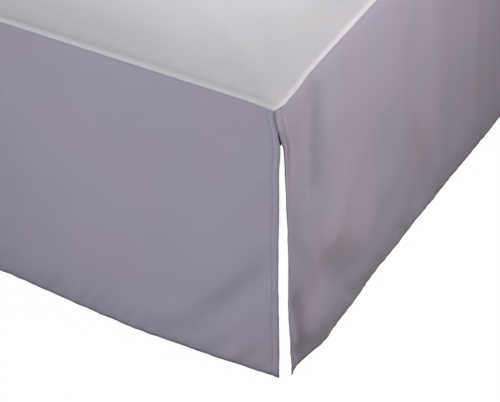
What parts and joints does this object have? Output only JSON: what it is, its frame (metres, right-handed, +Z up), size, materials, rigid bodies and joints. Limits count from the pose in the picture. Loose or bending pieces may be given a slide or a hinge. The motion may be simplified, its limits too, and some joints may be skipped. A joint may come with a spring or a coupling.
{
  "type": "bed skirt on a bed base",
  "caption": "Tailored bed skirt with flat hanging panels and split corners, its white deck cloth laid over a plain bed base on legs.",
  "frame": {"origin": "on the floor under the middle of the whole object's box", "axes": "+X along the bed, towards the end panel that the picture shows; -Y towards the front panel; +Z up"},
  "size_m": [1.3568, 0.7228, 0.367],
  "materials": {
    "deck_cloth": "matt plain-woven white polyester cotton",
    "skirt_cloth": "matt plain-woven mauve-grey polyester cotton",
    "base_wood": "plain pale plywood, sanded",
    "leg_wood": "plain pale turned wood, sanded"
  },
  "bodies": {
    "root": {"deck": "deck_cloth", "panel_front": "skirt_cloth", "panel_right": "skirt_cloth", "panel_back": "skirt_cloth", "panel_left": "skirt_cloth", "bed_base": "base_wood", "bed_leg_1": "leg_wood", "bed_leg_2": "leg_wood", "bed_leg_3": "leg_wood", "bed_leg_4": "leg_wood"}
  },
  "joints": []
}
